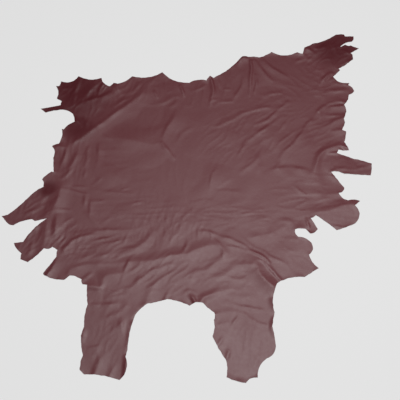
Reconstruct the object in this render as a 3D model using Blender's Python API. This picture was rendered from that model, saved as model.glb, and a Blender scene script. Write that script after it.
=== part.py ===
"""A whole cow hide, tanned, dyed a dull burgundy and laid on the floor, grain side up.

The hide is one soft sheet. It lies flat on the floor and stands off it only in its folds, which
are hollow below. The neck points to +Y and the hind legs to -Y. The origin is on the floor, in
the middle of the hide's box. Tables are in centimetres and heights of folds in millimetres.
"""

from collections import namedtuple

import bpy
import numpy as np
from mathutils import Vector
from mathutils.geometry import delaunay_2d_cdt

CM = 0.01
MM = 0.001

THICKNESS = 1.4 * MM
RIM_STEP = 2.8
CREST_STEP = 4.2
FILLER_STEP = 6.0
RIM_GAP = 1.3
FOLD_GAP = 1.7
FILLER_GAP = 4.1

BURGUNDY = (0.135, 0.062, 0.066, 1.0)
LEATHER_ROUGHNESS = 0.5

# The rim, clockwise seen from above. Each row is one run of the edge: where it starts, and how
# far it bows out of the straight line to the next row's start (a negative bow is a scallop that
# was drawn in between two toggles of the drying frame).
Run = namedtuple("Run", "x y bow")

RIM = {
    "left shoulder": (
        (-99.2, 39.7, 0.5),
        (-95.0, 41.5, -1.2),
        (-93.6, 53.0, 0),
        (-92.2, 52.8, 0.8),
        (-85.4, 58.8, -2.9),
        (-94.0, 68.2, -0.4),
    ),
    "left fore leg": (
        (-105.5, 66.0, 0),
        (-109.3, 69.0, 0),
        (-95.8, 72.0, 0),
        (-95.3, 75.0, 0),
        (-98.8, 77.3, -1.3),
        (-100.0, 87.0, 0),
        (-97.8, 87.3, 0),
        (-96.8, 91.4, -2.7),
        (-85.0, 95.6, -2.1),
        (-68.9, 94.2, -1.4),
        (-63.0, 87.3, -0.3),
        (-60.2, 90.2, 0),
        (-57.5, 89.3, -0.9),
    ),
    "neck": (
        (-47.5, 95.6, -2.6),
        (-26.5, 98.8, -2.6),
        (-7.5, 90.2, 1.6),
        (4.5, 91.8, 0.4),
        (7.3, 95.3, 0),
        (9.5, 94.2, -1.3),
        (29.3, 111.3, 1.1),
        (34.0, 111.8, 0.2),
        (42.0, 111.3, -0.5),
        (50.8, 115.8, -0.9),
        (62.5, 113.3, -0.2),
        (69.0, 115.5, -0.3),
    ),
    "right fore leg, outer edge": (
        (72.8, 114.2, 0),
        (74.5, 119.6, 0),
        (80.5, 123.0, -0.9),
        (97.5, 130.8, 0.2),
        (103.5, 130.9, 0),
        (104.0, 129.3, 0),
        (110.2, 129.5, 0.6),
        (108.5, 124.8, -1.2),
        (100.0, 120.2, 0),
        (103.6, 122.2, -0.6),
        (107.5, 121.6, -0.3),
    ),
    "right fore leg, inner edge": (
        (113.3, 119.4, 0),
        (106.9, 114.9, 0),
        (108.3, 113.6, 0),
        (108.2, 109.5, 0.3),
        (97.5, 102.0, 0),
        (98.4, 100.6, 0),
        (93.2, 95.3, -2.3),
        (104.2, 90.0, 0),
        (103.2, 88.0, 0.8),
        (107.0, 83.5, 0.5),
        (103.0, 80.5, 0.8),
    ),
    "right side": (
        (99.0, 72.0, 0.2),
        (100.2, 66.5, 0),
        (98.0, 60.8, 0),
        (98.6, 57.8, 0),
        (96.1, 51.8, 0),
        (98.8, 50.8, 0.3),
        (97.0, 43.0, 0.2),
    ),
    "right strip": (
        (99.6, 36.5, 0),
        (92.5, 37.0, 0),
        (91.4, 34.3, 0.3),
        (102.5, 30.0, 0.3),
        (113.9, 26.5, 0.2),
        (112.6, 18.0, 0.2),
        (95.0, 18.6, -0.9),
        (86.6, 20.2, 0),
        (94.5, 8.8, 1.0),
        (90.4, 4.9, -0.8),
    ),
    "right flaps": (
        (96.0, -0.6, 0.9),
        (103.8, -1.0, 0),
        (100.0, -4.3, 2.9),
        (99.5, -16.5, 0.4),
        (87.3, -21.2, -0.4),
        (74.5, -11.0, 0.4),
        (71.0, -13.0, 0),
        (75.2, -20.5, 0.7),
        (70.3, -23.9, 0),
        (67.5, -20.5, -0.4),
        (60.8, -20.8, -0.9),
        (62.5, -26.0, 0.9),
        (70.5, -29.8, 1.7),
        (68.6, -38.0, -0.9),
        (74.2, -47.0, 0),
        (65.0, -52.8, -1.4),
    ),
    "right hind leg, outer edge": (
        (48.0, -56.8, -0.5),
        (44.8, -67.2, -0.5),
        (45.5, -75.5, 0),
        (43.7, -84.5, 0.2),
        (45.5, -96.5, 1.4),
        (40.0, -103.8, -1.8),
        (34.0, -115.4, -1.3),
        (27.0, -118.6, 0.5),
    ),
    "right hind leg, inner edge": (
        (15.6, -115.2, -0.6),
        (15.5, -105.0, 0.4),
        (7.5, -90.5, -0.8),
        (8.4, -80.5, -0.8),
    ),
    "arch between the hind legs": (
        (8.4, -75.4, 0.4),
        (2.0, -69.8, -1.2),
        (-6.3, -71.4, -0.7),
        (-20.0, -67.2, 0.2),
        (-32.0, -70.0, -0.5),
        (-39.3, -77.0, -1.0),
        (-43.3, -99.0, 0),
    ),
    "left hind leg": (
        (-44.3, -103.0, 0.2),
        (-43.2, -108.0, 1.2),
        (-47.5, -116.8, -1.0),
        (-68.3, -113.5, 0),
        (-71.2, -110.8, 0),
        (-71.0, -105.8, 0),
        (-69.8, -102.0, 0.4),
        (-71.7, -90.0, 0),
        (-70.2, -84.5, 0.7),
        (-68.8, -70.5, 0.4),
        (-69.8, -58.2, 0),
        (-72.6, -57.7, 0.4),
    ),
    "left flank": (
        (-73.5, -54.5, -0.6),
        (-81.0, -51.9, 0),
        (-84.5, -54.8, 0.7),
        (-96.0, -52.2, 0.4),
        (-97.8, -50.3, 0),
        (-90.3, -39.5, 0.2),
        (-90.0, -34.8, 0),
        (-93.3, -32.8, 0.8),
        (-98.5, -33.8, 0.3),
    ),
    "left rear flap": (
        (-108.0, -43.0, 0),
        (-112.8, -41.0, 0.2),
        (-112.5, -37.0, 0.8),
        (-118.0, -30.0, 0),
        (-112.3, -29.3, 1.1),
        (-98.3, -13.2, 0),
        (-106.0, -15.0, 0),
    ),
    "left front flap": (
        (-107.8, -13.7, -0.8),
        (-119.5, -17.8, 0.9),
        (-125.0, -14.5, 0),
        (-127.8, -11.3, 0),
        (-124.0, -10.5, -0.4),
        (-111.0, 2.5, 0.7),
        (-102.5, 9.5, -0.6),
        (-103.8, 14.8, 0.5),
        (-97.8, 20.6, 0),
        (-96.6, 20.0, 0),
        (-97.8, 31.0, -1.3),
    ),
}

# The folds. Each row is one: its height over the floor at its start, middle and end (mm), how far
# it runs out to the left and to the right of its crest (cm), and the points that its crest passes.
# A crest is written so that the steep side, towards the left shoulder, is on its left.
Fold = namedtuple("Fold", "heights left right crest")

FOLDS = {
    "left shoulder": (
        ((10, 22, 8), 18, 8, ((-92, 39.5), (-86, 41.5), (-78, 47.5), (-70, 54.3), (-62, 60.5),
                              (-54, 68), (-46, 74), (-39, 81), (-34, 88))),
        ((3, 7, 5), 3, 4, ((-80, 74.5), (-74, 76.5), (-68, 78), (-63, 81), (-60, 86))),
        ((4, 10, 8), 2.5, 3, ((-91, 27), (-90, 33), (-88.5, 39.5))),
        ((4, 8, 3), 3, 2.5, ((-87, 22), (-84.5, 27), (-82, 33))),
    ),
    "middle": (
        ((3, 15, 4), 4.5, 8, ((-18.5, 35), (-20, 38.5), (-22.5, 42.5), (-24, 46), (-23, 50),
                              (-20.5, 55), (-18, 60), (-16, 66))),
        ((2, 6, 3), 5, 6, ((-66, 37.5), (-55, 37), (-45, 38), (-36, 40.5), (-28, 40))),
    ),
    "neck": (
        ((3, 8, 8), 2.5, 2, ((36, 84), (36.5, 92), (37, 100), (37.5, 108))),
        ((7, 8, 3), 3, 4, ((39.5, 106), (42, 102.5), (45, 98), (49, 93.5), (54, 91))),
        ((3, 8, 9), 3, 3, ((8, 68), (9, 74), (10, 80), (10.2, 86), (8.5, 94))),
        ((6, 12, 9), 2, 4, ((27, 104), (29.5, 108.5), (31, 113))),
    ),
    "pull lines to the right fore leg": (
        ((2, 9, 4), 3.5, 3.5, ((3, 53), (12, 56), (20, 59.5), (26, 62.5), (33, 67), (39, 69.3),
                               (46, 70))),
        ((3, 7, 3), 3, 3, ((37, 56.3), (44, 59), (49, 63.5), (54, 67.5), (60, 72.5))),
        ((4, 10, 5), 3.5, 4, ((24, 30), (29, 37), (32, 43), (38, 48.5), (45, 53.5), (51, 58),
                              (56, 63))),
        ((5, 12, 5), 4, 5, ((50.5, 23.5), (54.5, 29.5), (58, 35), (62, 41), (66.5, 47.5),
                            (70.5, 53), (74.5, 58), (79, 64), (83, 71))),
        ((3, 8, 8), 3, 3, ((84, 69.5), (89, 71.8), (94, 73.5), (100, 74.5))),
    ),
    "right side": (
        ((3, 14, 12), 4.5, 4, ((75.5, 22.5), (77.8, 27), (79.5, 32), (83, 36), (88, 37.8),
                               (95, 38.3))),
        ((5, 12, 5), 3.5, 11, ((42, 19), (47, 22), (52, 24.5), (57, 24.3), (62, 23.5), (67, 24),
                               (72, 21.8), (76, 20))),
        ((3, 8, 8), 3, 4, ((60, 9), (68, 7), (76, 4.8), (84, 4.2), (91, 4.5))),
        ((3, 9, 5), 3, 5, ((58, -3.5), (66, -3), (72, -1.7), (78, 0.8), (85, 3))),
        ((6, 11, 8), 4, 6, ((70, -10), (78, -9.5), (84, -8), (92, -6), (100, -3.5))),
        ((3, 8, 8), 3, 3, ((48, -19), (52, -17), (56, -16.5), (58.5, -18), (60, -21))),
        ((9, 8, 3), 2.5, 3, ((70, -23), (70.5, -18), (69, -13))),
        ((3, 8, 5), 7, 6, ((30, -27), (38, -25), (46, -22.5), (54, -20.5))),
    ),
    "left side": (
        ((8, 18, 12), 9, 6, ((-96, -10), (-93.5, -4), (-91, 2), (-91.5, 8), (-95, 13))),
        ((5, 10, 6), 2.5, 6, ((-91, -24), (-91.5, -16), (-92.5, -9.5))),
        ((16, 12, 4), 2.8, 6, ((-96, -52), (-92, -46.5), (-89, -41))),
        ((8, 12, 5), 3, 6, ((-88, -35), (-85, -33.5), (-82, -30.5), (-79.5, -28.3), (-74, -26),
                            (-68, -25.5))),
    ),
    "rump": (
        ((5, 10, 4), 3.5, 5, ((-52, -36.5), (-46, -36), (-41, -34), (-37, -31), (-33.5, -27.5),
                              (-30.5, -23))),
        ((6, 18, 8), 5.5, 10, ((-56, -44), (-48, -43), (-40, -42.7), (-33, -43), (-27, -42),
                               (-21, -40), (-15, -38), (-9, -38.2), (-4, -35.5), (2, -34.5),
                               (8, -32.5), (13, -33.5), (16, -36.5))),
        ((4, 9, 6), 3.5, 4, ((-2, -51), (3, -49), (7, -47), (10, -44.5), (13, -42.3),
                             (16, -40.5), (17.5, -36.5))),
        ((4, 9, 5), 3, 5, ((14, -51.5), (18, -49.5), (21, -46.5), (26, -45.8), (32, -46),
                           (35.5, -43.5), (38, -41))),
        ((5, 9, 5), 3, 3, ((0, -23.5), (5, -23), (10, -25), (16, -27), (22, -29), (29, -31.5),
                           (35, -34), (41, -37), (47, -40.5), (53, -43.5))),
        ((4, 8, 4), 3, 4, ((-46, -62), (-43, -60.5), (-39, -56.5), (-35, -52.5), (-30, -49.5),
                           (-24, -47))),
        ((9, 9, 3), 3.5, 6, ((-33, -70), (-31, -65.5), (-29, -61), (-26, -57), (-21, -53),
                             (-15, -50))),
    ),
    "hips": (
        ((14, 10, 4), 4, 2, ((50, -56), (46.5, -51), (43, -46.5), (40, -42.5), (36, -39.5))),
        ((12, 10, 5), 2.5, 5, ((54, -53.5), (50, -48.5), (46, -43.5), (42, -40), (36, -37))),
        ((4, 9, 4), 2.5, 4, ((-57, -52), (-52, -51.5), (-47.5, -50), (-44.5, -46.5),
                             (-43, -42.5))),
        ((10, 9, 3), 3, 4, ((2, -70), (4.5, -65.5), (9, -63.5), (14, -62.3), (20, -60))),
    ),
    "hind legs": (
        ((12, 9, 3), 3, 4, ((-62.5, -114), (-61, -109), (-59.5, -105), (-56.5, -100))),
        ((10, 12, 6), 4, 2, ((-45, -116), (-43, -110), (-43, -104))),
        ((4, 9, 3), 3.5, 2, ((-43.5, -97), (-42.3, -89), (-40.5, -81))),
        ((8, 8, 3), 3.5, 3.5, ((9, -77.5), (16, -76.5), (22, -76.5), (27, -79))),
        ((4, 11, 5), 3.5, 2, ((44, -88.5), (43.7, -84.5), (45, -79))),
        ((6, 8, 5), 3, 2, ((16, -116), (21, -117.5), (27, -119))),
    ),
}


def run_points(start, end):
    """Points of one run of the rim, from its start to just before the next run's start."""
    a = np.array((start.x, start.y))
    b = np.array((end.x, end.y))
    chord = b - a
    length = np.hypot(*chord)
    outwards = np.array((-chord[1], chord[0])) / length
    count = max(1, round(length / RIM_STEP))
    along = np.arange(count)[:, None] / count
    return a + chord * along + outwards * start.bow * 4 * along * (1 - along)


def rim_points():
    """The whole rim as a closed loop of points."""
    runs = [Run(*row) for rows in RIM.values() for row in rows]
    return np.concatenate([run_points(a, b) for a, b in zip(runs, runs[1:] + runs[:1])])


def smooth_path(points, step):
    """A Catmull-Rom curve through the points, with a point about every step."""
    p = np.array(points, float)
    p = np.vstack((2 * p[0] - p[1], p, 2 * p[-1] - p[-2]))
    pieces = []
    for a, b, c, d in zip(p, p[1:], p[2:], p[3:]):
        count = max(1, round(np.hypot(*(c - b)) / step))
        t = np.arange(count)[:, None] / count
        pieces.append(b + (c - a) / 2 * t + (2 * a - 5 * b + 4 * c - d) / 2 * t**2
                      + (3 * b - 3 * c + d - a) / 2 * t**3)
    return np.vstack(pieces + [p[-2:-1]])


def across_and_along(points, path):
    """How far each point is from the path, positive on its left, and how far along it, 0 to 1."""
    starts = path[:-1]
    steps = np.diff(path, axis=0)
    lengths = np.hypot(*steps.T)
    walked = np.concatenate(([0], np.cumsum(lengths)))
    nearest = np.full(len(points), np.inf)
    across = np.zeros(len(points))
    along = np.zeros(len(points))
    for start, step, length, before in zip(starts, steps, lengths, walked):
        away = points - start
        t = np.clip(away @ step / length**2, 0, 1)
        gap = away - t[:, None] * step
        distance = np.hypot(*gap.T)
        side = np.sign(step[0] * away[:, 1] - step[1] * away[:, 0])
        closer = distance < nearest
        nearest[closer] = distance[closer]
        across[closer] = (distance * side)[closer]
        along[closer] = (before + t * length)[closer] / walked[-1]
    return across, along


def fold_height(points, fold):
    """The height, in cm, that one fold gives the sheet at each point."""
    across, along = across_and_along(points, smooth_path(fold.crest, 1.5))
    start, middle, end = fold.heights
    crest = start * (1 - along)**2 + (4 * middle - start - end) * along * (1 - along)
    crest = (crest + end * along**2) / 10
    width = np.where(across > 0, fold.left, fold.right)
    return crest * np.clip(1 - (across / width)**2, 0, 1)**2


def sheet_height(points, folds):
    """The underside's height over the floor: where folds meet, the higher one leads."""
    blend = 4
    total = sum(fold_height(points, fold)**blend for fold in folds)
    return total**(1 / blend)


def inside(points, loop):
    """Which points lie within the closed loop, by the even and odd rule."""
    found = np.zeros(len(points), bool)
    for a, b in zip(loop, np.roll(loop, -1, axis=0)):
        crosses = (a[1] > points[:, 1]) != (b[1] > points[:, 1])
        rise = b[1] - a[1] if b[1] != a[1] else 1.0
        found ^= crosses & (points[:, 0] < a[0] + (points[:, 1] - a[1]) / rise * (b[0] - a[0]))
    return found


def fold_points(fold):
    """Points for the mesh: the crest, the middle of each slope, and the foot on each side."""
    crest = smooth_path(fold.crest, CREST_STEP)
    heading = np.gradient(crest, axis=0)
    leftwards = np.column_stack((-heading[:, 1], heading[:, 0]))
    leftwards /= np.hypot(*leftwards.T)[:, None]
    offsets = (0, fold.left, -fold.right, fold.left / 2, -fold.right / 2)
    return [crest + leftwards * offset for offset in offsets]


def filler_points(loop):
    """An even triangular grid over the rim's box, for the flat parts of the sheet."""
    low, high = loop.min(axis=0), loop.max(axis=0)
    rows = np.arange(low[1], high[1], FILLER_STEP * 0.866)
    grid = [(x + FILLER_STEP / 2 * (number % 2), y)
            for number, y in enumerate(rows)
            for x in np.arange(low[0], high[0], FILLER_STEP)]
    return np.array(grid)


def spaced(kept, wanted, gap):
    """The kept points, and each wanted point that stays at least the gap from all before it."""
    kept = list(kept)
    for point in wanted:
        if np.hypot(*(np.array(kept) - point).T).min() >= gap:
            kept.append(point)
    return kept


def mesh_points(loop, folds):
    """The rim's points first, then those of the folds, then the filler."""
    by_line = zip(*(fold_points(fold) for fold in folds))
    on_folds = np.vstack([np.vstack(line) for line in by_line])
    on_folds = on_folds[inside(on_folds, loop)]
    filler = filler_points(loop)
    filler = filler[inside(filler, loop)]
    rim_distance = np.abs(across_and_along(on_folds, np.vstack((loop, loop[:1])))[0])
    points = spaced(loop, on_folds[rim_distance > RIM_GAP], FOLD_GAP)
    return np.array(spaced(points, filler, FILLER_GAP))


def leather():
    """The dyed grain side: dull burgundy, a little shiny."""
    material = bpy.data.materials.new("burgundy leather")
    material.use_nodes = True
    shader = material.node_tree.nodes["Principled BSDF"]
    shader.inputs["Base Color"].default_value = BURGUNDY
    shader.inputs["Roughness"].default_value = LEATHER_ROUGHNESS
    shader.inputs["Metallic"].default_value = 0.0
    material.diffuse_color = BURGUNDY
    return material


def hide():
    """The sheet's underside as a mesh of triangles, made solid upwards by its thickness."""
    folds = [Fold(*row) for rows in FOLDS.values() for row in rows]
    loop = rim_points()
    flat = mesh_points(loop, folds)
    flat, _, faces, _, _, _ = delaunay_2d_cdt(
        [Vector(point) for point in flat], [], [list(range(len(loop)))[::-1]], 1, 1e-4)
    flat = np.array(flat)
    middle = (loop.min(axis=0) + loop.max(axis=0)) / 2
    points = np.column_stack((flat - middle, sheet_height(flat, folds))) * CM
    mesh = bpy.data.meshes.new("hide")
    mesh.from_pydata(points.tolist(), [], faces)
    mesh.materials.append(leather())
    mesh.shade_smooth()
    sheet = bpy.data.objects.new("hide", mesh)
    bpy.context.scene.collection.objects.link(sheet)
    solid = sheet.modifiers.new("thickness", "SOLIDIFY")
    solid.thickness = THICKNESS
    solid.offset = 1
    solid.use_even_offset = True
    return sheet


for old in list(bpy.data.objects):
    bpy.data.objects.remove(old, do_unlink=True)
hide()
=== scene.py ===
# %% [markdown]
# # A whole cow hide, tanned and dyed burgundy
#
# A hide is one sheet of leather, cut from nothing and sewn to nothing. It was stretched on a
# drying frame, dyed, softened and thrown on the floor, so what the eye sees is an outline full of
# scallops, and folds that run from the points where it was pulled. One mesh can hold all of that.
# This lesson builds the sheet from a few tables, gives it a grain side and a flesh side, and
# lights it softly. Tables are in centimetres, and heights of folds are in millimetres.

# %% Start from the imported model
import math
from collections import namedtuple

import bpy
import numpy as np
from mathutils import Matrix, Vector, kdtree, noise
from mathutils.geometry import delaunay_2d_cdt


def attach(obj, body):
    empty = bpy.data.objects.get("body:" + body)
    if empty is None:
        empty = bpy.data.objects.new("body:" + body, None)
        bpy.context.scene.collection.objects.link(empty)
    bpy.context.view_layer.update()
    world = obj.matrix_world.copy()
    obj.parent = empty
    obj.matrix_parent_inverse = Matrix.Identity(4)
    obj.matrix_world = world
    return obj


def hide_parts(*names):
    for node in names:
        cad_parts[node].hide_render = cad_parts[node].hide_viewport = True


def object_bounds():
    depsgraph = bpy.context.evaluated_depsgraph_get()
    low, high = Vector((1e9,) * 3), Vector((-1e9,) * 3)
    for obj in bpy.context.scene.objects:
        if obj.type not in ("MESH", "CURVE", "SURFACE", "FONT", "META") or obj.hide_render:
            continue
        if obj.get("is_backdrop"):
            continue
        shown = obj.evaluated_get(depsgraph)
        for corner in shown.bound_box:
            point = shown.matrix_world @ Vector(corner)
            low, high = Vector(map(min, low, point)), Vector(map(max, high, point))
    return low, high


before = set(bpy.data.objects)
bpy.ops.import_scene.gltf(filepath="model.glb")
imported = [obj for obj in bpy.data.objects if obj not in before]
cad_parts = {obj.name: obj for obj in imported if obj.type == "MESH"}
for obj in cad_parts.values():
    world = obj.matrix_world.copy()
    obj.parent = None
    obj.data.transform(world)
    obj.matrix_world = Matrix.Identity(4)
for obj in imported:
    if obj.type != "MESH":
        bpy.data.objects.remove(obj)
cad_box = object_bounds()
CM = 0.01
MM = 0.001
MM_PER_CM = 10

# %% [markdown]
# ## The camera
#
# Someone stands at the hind legs and looks down on the hide. A long lens from far away keeps
# the far edge from shrinking much. The camera is placed by turning back from the point that it
# looks at: so far away, and so high over the horizon.

# %% Place the camera
LOOKS_AT = Vector((0.0695, -0.06225, 0.0))
CAMERA_DISTANCE = 5.2
CAMERA_ELEVATION = math.radians(65)
LENS_MM = 72
SENSOR_MM = 36

backwards = Vector((0, -math.cos(CAMERA_ELEVATION), math.sin(CAMERA_ELEVATION)))
camera = bpy.data.objects.new("camera", bpy.data.cameras.new("camera"))
camera.location = LOOKS_AT + backwards * CAMERA_DISTANCE
camera.rotation_euler = (math.pi / 2 - CAMERA_ELEVATION, 0, 0)
camera.data.lens = LENS_MM
camera.data.sensor_width = SENSOR_MM
bpy.context.scene.collection.objects.link(camera)
bpy.context.scene.camera = camera
print("camera stands at", [round(x, 3) for x in camera.location])

# %% [markdown]
# ## The outline
#
# The outline could be one long list of points. It is easier to read as runs: each row says where
# a stretch of the edge starts and how far it bows on its way to the next one. A negative bow is a
# scallop that was drawn in between two toggles of the frame. The rows go clockwise from the left
# shoulder.

# %% The outline, run by run
Run = namedtuple("Run", "x y bow")

RIM = {
    "left shoulder": (
        (-99.2, 39.7, 0.5), (-95.0, 41.5, -1.2), (-93.6, 53.0, 0), (-92.2, 52.8, 0.8),
        (-85.4, 58.8, -2.9), (-94.0, 68.2, -0.4),
    ),
    "left fore leg": (
        (-105.5, 66.0, 0), (-109.3, 69.0, 0), (-95.8, 72.0, 0), (-95.3, 75.0, 0),
        (-98.8, 77.3, -1.3), (-100.0, 87.0, 0), (-97.8, 87.3, 0), (-96.8, 91.4, -2.7),
        (-85.0, 95.6, -2.1), (-68.9, 94.2, -1.4), (-63.0, 87.3, -0.3), (-60.2, 90.2, 0),
        (-57.5, 89.3, -0.9),
    ),
    "neck": (
        (-47.5, 95.6, -2.6), (-26.5, 98.8, -2.6), (-7.5, 90.2, 1.6), (4.5, 91.8, 0.4),
        (7.3, 95.3, 0), (9.5, 94.2, -1.3), (29.3, 111.3, 1.1), (34.0, 111.8, 0.2),
        (42.0, 111.3, -0.5), (50.8, 115.8, -0.9), (62.5, 113.3, -0.2), (69.0, 115.5, -0.3),
    ),
    "right fore leg, outer edge": (
        (72.8, 114.2, 0), (74.5, 119.6, 0), (80.5, 123.0, -0.9), (97.5, 130.8, 0.2),
        (103.5, 130.9, 0), (104.0, 129.3, 0), (110.2, 129.5, 0.6), (108.5, 124.8, -1.2),
        (100.0, 120.2, 0), (103.6, 122.2, -0.6), (107.5, 121.6, -0.3),
    ),
    "right fore leg, inner edge": (
        (113.3, 119.4, 0), (106.9, 114.9, 0), (108.3, 113.6, 0), (108.2, 109.5, 0.3),
        (97.5, 102.0, 0), (98.4, 100.6, 0), (93.2, 95.3, -2.3), (104.2, 90.0, 0),
        (103.2, 88.0, 0.8), (107.0, 83.5, 0.5), (103.0, 80.5, 0.8),
    ),
    "right side": (
        (99.0, 72.0, 0.2), (100.2, 66.5, 0), (98.0, 60.8, 0), (98.6, 57.8, 0), (96.1, 51.8, 0),
        (98.8, 50.8, 0.3), (97.0, 43.0, 0.2),
    ),
    "right strip": (
        (99.6, 36.5, 0), (92.5, 37.0, 0), (91.4, 34.3, 0.3), (102.5, 30.0, 0.3),
        (113.9, 26.5, 0.2), (112.6, 18.0, 0.2), (95.0, 18.6, -0.9), (86.6, 20.2, 0),
        (94.5, 8.8, 1.0), (90.4, 4.9, -0.8),
    ),
    "right flaps": (
        (96.0, -0.6, 0.9), (103.8, -1.0, 0), (100.0, -4.3, 2.9), (99.5, -16.5, 0.4),
        (87.3, -21.2, -0.4), (74.5, -11.0, 0.4), (71.0, -13.0, 0), (75.2, -20.5, 0.7),
        (70.3, -23.9, 0), (67.5, -20.5, -0.4), (60.8, -20.8, -0.9), (62.5, -26.0, 0.9),
        (70.5, -29.8, 1.7), (68.6, -38.0, -0.9), (74.2, -47.0, 0), (65.0, -52.8, -1.4),
    ),
    "right hind leg, outer edge": (
        (48.0, -56.8, -0.5), (44.8, -67.2, -0.5), (45.5, -75.5, 0), (43.7, -84.5, 0.2),
        (45.5, -96.5, 1.4), (40.0, -103.8, -1.8), (34.0, -115.4, -1.3), (27.0, -118.6, 0.5),
    ),
    "right hind leg, inner edge": (
        (15.6, -115.2, -0.6), (15.5, -105.0, 0.4), (7.5, -90.5, -0.8), (8.4, -80.5, -0.8),
    ),
    "arch between the hind legs": (
        (8.4, -75.4, 0.4), (2.0, -69.8, -1.2), (-6.3, -71.4, -0.7), (-20.0, -67.2, 0.2),
        (-32.0, -70.0, -0.5), (-39.3, -77.0, -1.0), (-43.3, -99.0, 0),
    ),
    "left hind leg": (
        (-44.3, -103.0, 0.2), (-43.2, -108.0, 1.2), (-47.5, -116.8, -1.0), (-68.3, -113.5, 0),
        (-71.2, -110.8, 0), (-71.0, -105.8, 0), (-69.8, -102.0, 0.4), (-71.7, -90.0, 0),
        (-70.2, -84.5, 0.7), (-68.8, -70.5, 0.4), (-69.8, -58.2, 0), (-72.6, -57.7, 0.4),
    ),
    "left flank": (
        (-73.5, -54.5, -0.6), (-81.0, -51.9, 0), (-84.5, -54.8, 0.7), (-96.0, -52.2, 0.4),
        (-97.8, -50.3, 0), (-90.3, -39.5, 0.2), (-90.0, -34.8, 0), (-93.3, -32.8, 0.8),
        (-98.5, -33.8, 0.3),
    ),
    "left rear flap": (
        (-108.0, -43.0, 0), (-112.8, -41.0, 0.2), (-112.5, -37.0, 0.8), (-118.0, -30.0, 0),
        (-112.3, -29.3, 1.1), (-98.3, -13.2, 0), (-106.0, -15.0, 0),
    ),
    "left front flap": (
        (-107.8, -13.7, -0.8), (-119.5, -17.8, 0.9), (-125.0, -14.5, 0), (-127.8, -11.3, 0),
        (-124.0, -10.5, -0.4), (-111.0, 2.5, 0.7), (-102.5, 9.5, -0.6), (-103.8, 14.8, 0.5),
        (-97.8, 20.6, 0), (-96.6, 20.0, 0), (-97.8, 31.0, -1.3),
    ),
}

# %% [markdown]
# A knife never leaves an even edge, so each run is cut into short steps and every point is
# pushed in or out by a millimetre or two of smooth noise. The noise fades at the ends of a run,
# which keeps the corners where the table puts them. Noise has three dimensions and a flat sheet
# has two, so each use of it in this lesson reads a layer of its own.

# %% Walk round the edge
RIM_STEP = 0.8
EDGE_WAVER = 0.3
WAVER_LENGTH = 2.2
WAVER_LAYER = 0


def smooth_noise(points, length, layer):
    """Smooth noise at the points, mostly from -0.5 to 0.5, with waves about that length."""
    return np.array([noise.noise((x / length, y / length, layer)) for x, y in points])


def run_points(start, end):
    """Points of one run of the rim, from its start to just before the next run's start."""
    a = np.array((start.x, start.y))
    b = np.array((end.x, end.y))
    chord = b - a
    length = np.hypot(*chord)
    outwards = np.array((-chord[1], chord[0])) / length
    count = max(1, round(length / RIM_STEP))
    along = np.arange(count)[:, None] / count
    points = a + chord * along + outwards * start.bow * 4 * along * (1 - along)
    waver = smooth_noise(points, WAVER_LENGTH, WAVER_LAYER)
    fade = np.minimum(1, 6 * along * (1 - along))  # 0 at both ends, 1 between
    return points + outwards * waver[:, None] * EDGE_WAVER * fade


runs = [Run(*row) for rows in RIM.values() for row in rows]
rim = np.concatenate([run_points(a, b) for a, b in zip(runs, runs[1:] + runs[:1])])
print(len(runs), "runs give", len(rim), "points round the edge")

# %% [markdown]
# ## The folds
#
# A fold is a hollow ridge: the sheet leaves the floor, rises to a crest and comes down again.
# Cloth simulation makes folds too, but never the ones that this hide has. So each fold is one
# row: its height at the start, in the middle and at the end, how far it runs out to the left and
# to the right of its crest, and the points that the crest passes. Few crests are even: a fold
# that was pushed over is short and steep on one side and runs out far on the other. The line
# along the left shoulder is used twice, by the long fold there and by a small crest on its back.

# %% The main folds
Fold = namedtuple("Fold", "heights left right crest")
SHOULDER_LINE = (
    (-84, 43), (-80, 46), (-75, 50.5), (-70, 54.8), (-66, 57.5), (-62.5, 61), (-59, 64.3),
    (-55, 67.7), (-50, 71.2), (-46.5, 74.7), (-43, 78), (-40, 81.5))

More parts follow.
